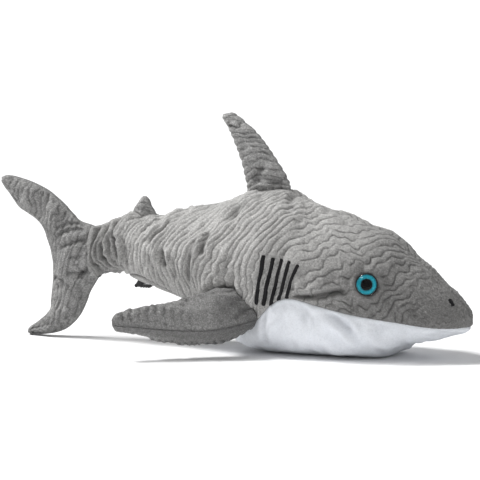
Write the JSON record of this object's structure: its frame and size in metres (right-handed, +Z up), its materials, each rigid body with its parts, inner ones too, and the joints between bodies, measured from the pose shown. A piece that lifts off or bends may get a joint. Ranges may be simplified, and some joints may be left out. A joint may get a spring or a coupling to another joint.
{
  "type": "plush shark toy",
  "caption": "Stuffed plush shark with grey embossed back, white belly, teal safety eyes, stitched gills, bendable tail and fins, and a zip under the rear belly.",
  "frame": {"origin": "on the ground, under the middle of the toy's overall box", "axes": "+X towards the snout, +Y to the shark's left, +Z up"},
  "size_m": [0.5139, 0.294, 0.2346],
  "materials": {
    "grey_plush": "short-pile embossed plush",
    "white_plush": "smooth short-pile plush",
    "stuffing": "polyester fibre fill",
    "thread": "satin stitch",
    "eye_black": "gloss",
    "eye_teal": "glitter gloss",
    "eye_clear": "clear gloss",
    "washer": "moulded",
    "zip_tape": "woven tape",
    "zip_plastic": "moulded",
    "zip_metal": "black enamel"
  },
  "bodies": {
    "trunk": {"back_panel_right": "grey_plush", "back_panel_left": "grey_plush", "belly_panel": "white_plush", "zip_placket_right": "grey_plush", "zip_placket_left": "grey_plush", "trunk_stuffing": "stuffing", "zip_tape_right": "zip_tape", "zip_teeth_right": "zip_plastic", "zip_tape_left": "zip_tape", "zip_teeth_left": "zip_plastic", "zip_stops": "zip_plastic", "gill_stitches_right": "thread", "nostril_stitches_right": "thread", "eye_back_right": "eye_black", "eye_iris_right": "eye_teal", "eye_pupil_right": "eye_black", "eye_lens_right": "eye_clear", "eye_washer_right": "washer", "gill_stitches_left": "thread", "nostril_stitches_left": "thread", "eye_back_left": "eye_black", "eye_iris_left": "eye_teal", "eye_pupil_left": "eye_black", "eye_lens_left": "eye_clear", "eye_washer_left": "washer"},
    "tail": {"tail_stock_panel_right": "grey_plush", "tail_stock_panel_left": "grey_plush", "tail_stock_stuffing": "stuffing", "tail_fin_panel_right": "grey_plush", "tail_fin_panel_left": "grey_plush", "tail_fin_stuffing": "stuffing"},
    "dorsal_fin": {"dorsal_fin_panel_right": "grey_plush", "dorsal_fin_panel_left": "grey_plush", "dorsal_fin_stuffing": "stuffing"},
    "rear_dorsal_fin": {"rear_dorsal_fin_panel_right": "grey_plush", "rear_dorsal_fin_panel_left": "grey_plush", "rear_dorsal_fin_stuffing": "stuffing"},
    "pectoral_fin_right": {"pectoral_upper_right": "grey_plush", "pectoral_lower_right": "grey_plush", "pectoral_stuffing_right": "stuffing"},
    "pectoral_fin_left": {"pectoral_upper_left": "grey_plush", "pectoral_lower_left": "grey_plush", "pectoral_stuffing_left": "stuffing"},
    "zip_slider": {"zip_slider": "zip_metal"},
    "zip_pull": {"zip_pull_tab": "zip_metal"}
  },
  "joints": [
    {"name": "tail_sway", "type": "hinge", "parent": "trunk", "child": "tail", "pos_m": [-0.1322, 0, 0.09], "axis": [0, 0, 1], "range_deg": [-20, 20], "stiffness_Nm_per_rad": 0.25},
    {"name": "dorsal_fin_lean", "type": "hinge", "parent": "trunk", "child": "dorsal_fin", "pos_m": [0.0415, 0, 0.1614], "axis": [0.9965, 0, 0.0839], "range_deg": [-25, 25], "stiffness_Nm_per_rad": 0.12},
    {"name": "rear_dorsal_fin_lean", "type": "hinge", "parent": "trunk", "child": "rear_dorsal_fin", "pos_m": [-0.0956, 0, 0.132], "axis": [1, 0, 0], "range_deg": [-25, 25], "stiffness_Nm_per_rad": 0.02},
    {"name": "pectoral_flap_right", "type": "hinge", "parent": "trunk", "child": "pectoral_fin_right", "pos_m": [0.0258, -0.0625, 0.048], "axis": [-0.9379, 0.1501, 0.3126], "range_deg": [-15, 30], "stiffness_Nm_per_rad": 0.3, "springref_deg": 2.86},
    {"name": "pectoral_flap_left", "type": "hinge", "parent": "trunk", "child": "pectoral_fin_left", "pos_m": [0.0258, 0.0625, 0.048], "axis": [0.9379, 0.1501, -0.3126], "range_deg": [-15, 30], "stiffness_Nm_per_rad": 0.3, "springref_deg": 2.86},
    {"name": "zip_slider_travel", "type": "slide", "parent": "trunk", "child": "zip_slider", "axis": [0.9596, 0, -0.2813], "range_m": [0, 0.07]},
    {"name": "zip_pull_swing", "type": "hinge", "parent": "zip_slider", "child": "zip_pull", "pos_m": [-0.10316, 0, 0.05664], "axis": [0, 1, 0], "range_deg": [0, 110]}
  ]
}
